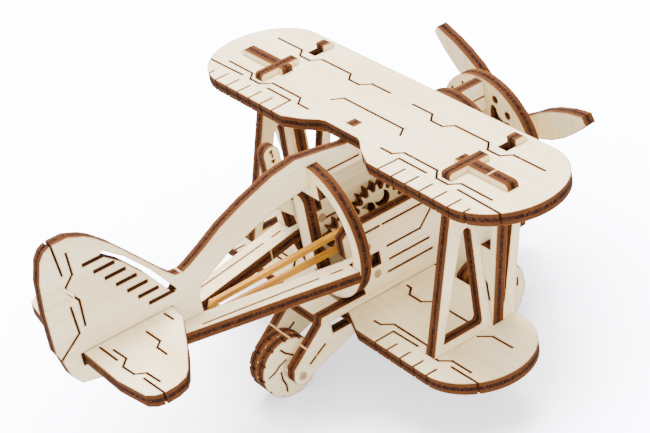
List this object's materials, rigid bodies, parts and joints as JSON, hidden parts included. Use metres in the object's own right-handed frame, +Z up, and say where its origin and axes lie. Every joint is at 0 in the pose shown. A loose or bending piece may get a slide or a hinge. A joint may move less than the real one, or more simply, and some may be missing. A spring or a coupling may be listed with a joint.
{
  "type": "biplane scale model",
  "caption": "Flat-pack plywood biplane with slotted wings, rubber-band drum, gear-driven front wheels, free propeller, tail wheel and control lever",
  "frame": {"origin": "middle of the footprint on the ground under the wheels", "axes": "+X forward towards the propeller, +Y to the left wing tip, +Z up"},
  "size_m": [0.1322, 0.12, 0.0655],
  "materials": {
    "plywood": "raw laser-cut birch plywood, pale faces, burnt edges",
    "dowel": "raw turned dowel",
    "rubber": "amber elastic band, slightly translucent"
  },
  "bodies": {
    "airframe": {"upper_wing": "plywood", "lower_wing": "plywood", "side_panel_right": "plywood", "side_panel_left": "plywood", "spine_fin": "plywood", "tail_boom": "plywood", "stabiliser": "plywood", "ring_former": "plywood", "nose_disc_rear": "plywood", "nose_disc_front": "plywood", "nose_rail": "plywood", "strut_right": "plywood", "strut_left": "plywood", "cross_strut_right": "plywood", "cross_strut_left": "plywood", "floor_plate": "plywood", "bulkhead": "plywood", "panel_dowel": "dowel", "rear_axle": "dowel", "rear_spacers": "plywood", "lever_pin": "dowel", "rubber_band": "rubber", "tail_peg": "dowel"},
    "rear_wheel": {"rear_wheel_right": "plywood", "rear_wheel_left": "plywood"},
    "front_axle": {"front_wheel_right_outer": "plywood", "front_wheel_right_inner": "plywood", "front_wheel_left_inner": "plywood", "front_wheel_left_outer": "plywood", "front_axle": "dowel", "front_spacers": "plywood", "axle_gear": "plywood"},
    "idler": {"idler_gear": "plywood", "idler_dowel": "dowel"},
    "drive": {"drive_gear": "plywood", "drive_dowel": "dowel"},
    "drum": {"drum_gear": "plywood", "drum_core": "plywood", "drum_flange": "plywood", "drum_dowel": "dowel"},
    "propeller": {"propeller": "plywood", "propeller_hub": "plywood", "propeller_cap": "plywood", "propeller_shaft": "dowel", "shaft_collar": "plywood"},
    "lever": {"lever": "plywood"}
  },
  "joints": [
    {"name": "front_axle_spin", "type": "hinge", "parent": "airframe", "child": "front_axle", "pos_m": [0.03655, 0, 0.009], "axis": [0, 1, 0], "continuous": true},
    {"name": "rear_wheel_spin", "type": "hinge", "parent": "airframe", "child": "rear_wheel", "pos_m": [-0.01255, 0, 0.0076], "axis": [0, 1, 0], "continuous": true},
    {"name": "idler_spin", "type": "hinge", "parent": "airframe", "child": "idler", "pos_m": [0.02955, 0, 0.0195], "axis": [0, 1, 0], "continuous": true},
    {"name": "drive_spin", "type": "hinge", "parent": "airframe", "child": "drive", "pos_m": [0.02155, 0, 0.0315], "axis": [0, 1, 0], "continuous": true},
    {"name": "drum_spin", "type": "hinge", "parent": "airframe", "child": "drum", "pos_m": [0.01074, 0, 0.03112], "axis": [0, 1, 0], "continuous": true},
    {"name": "propeller_spin", "type": "hinge", "parent": "airframe", "child": "propeller", "pos_m": [0.06155, 0, 0.0369], "axis": [1, 0, 0], "continuous": true},
    {"name": "lever_swing", "type": "hinge", "parent": "airframe", "child": "lever", "pos_m": [0.00815, 0, 0.0354], "axis": [0, -1, 0], "range_deg": [0, 15]}
  ],
  "couplings": [
    {"joint": "idler_spin", "follows": "front_axle_spin", "ratio": -0.75},
    {"joint": "drive_spin", "follows": "front_axle_spin", "ratio": 0.75},
    {"joint": "drum_spin", "follows": "front_axle_spin", "ratio": -1.5}
  ]
}
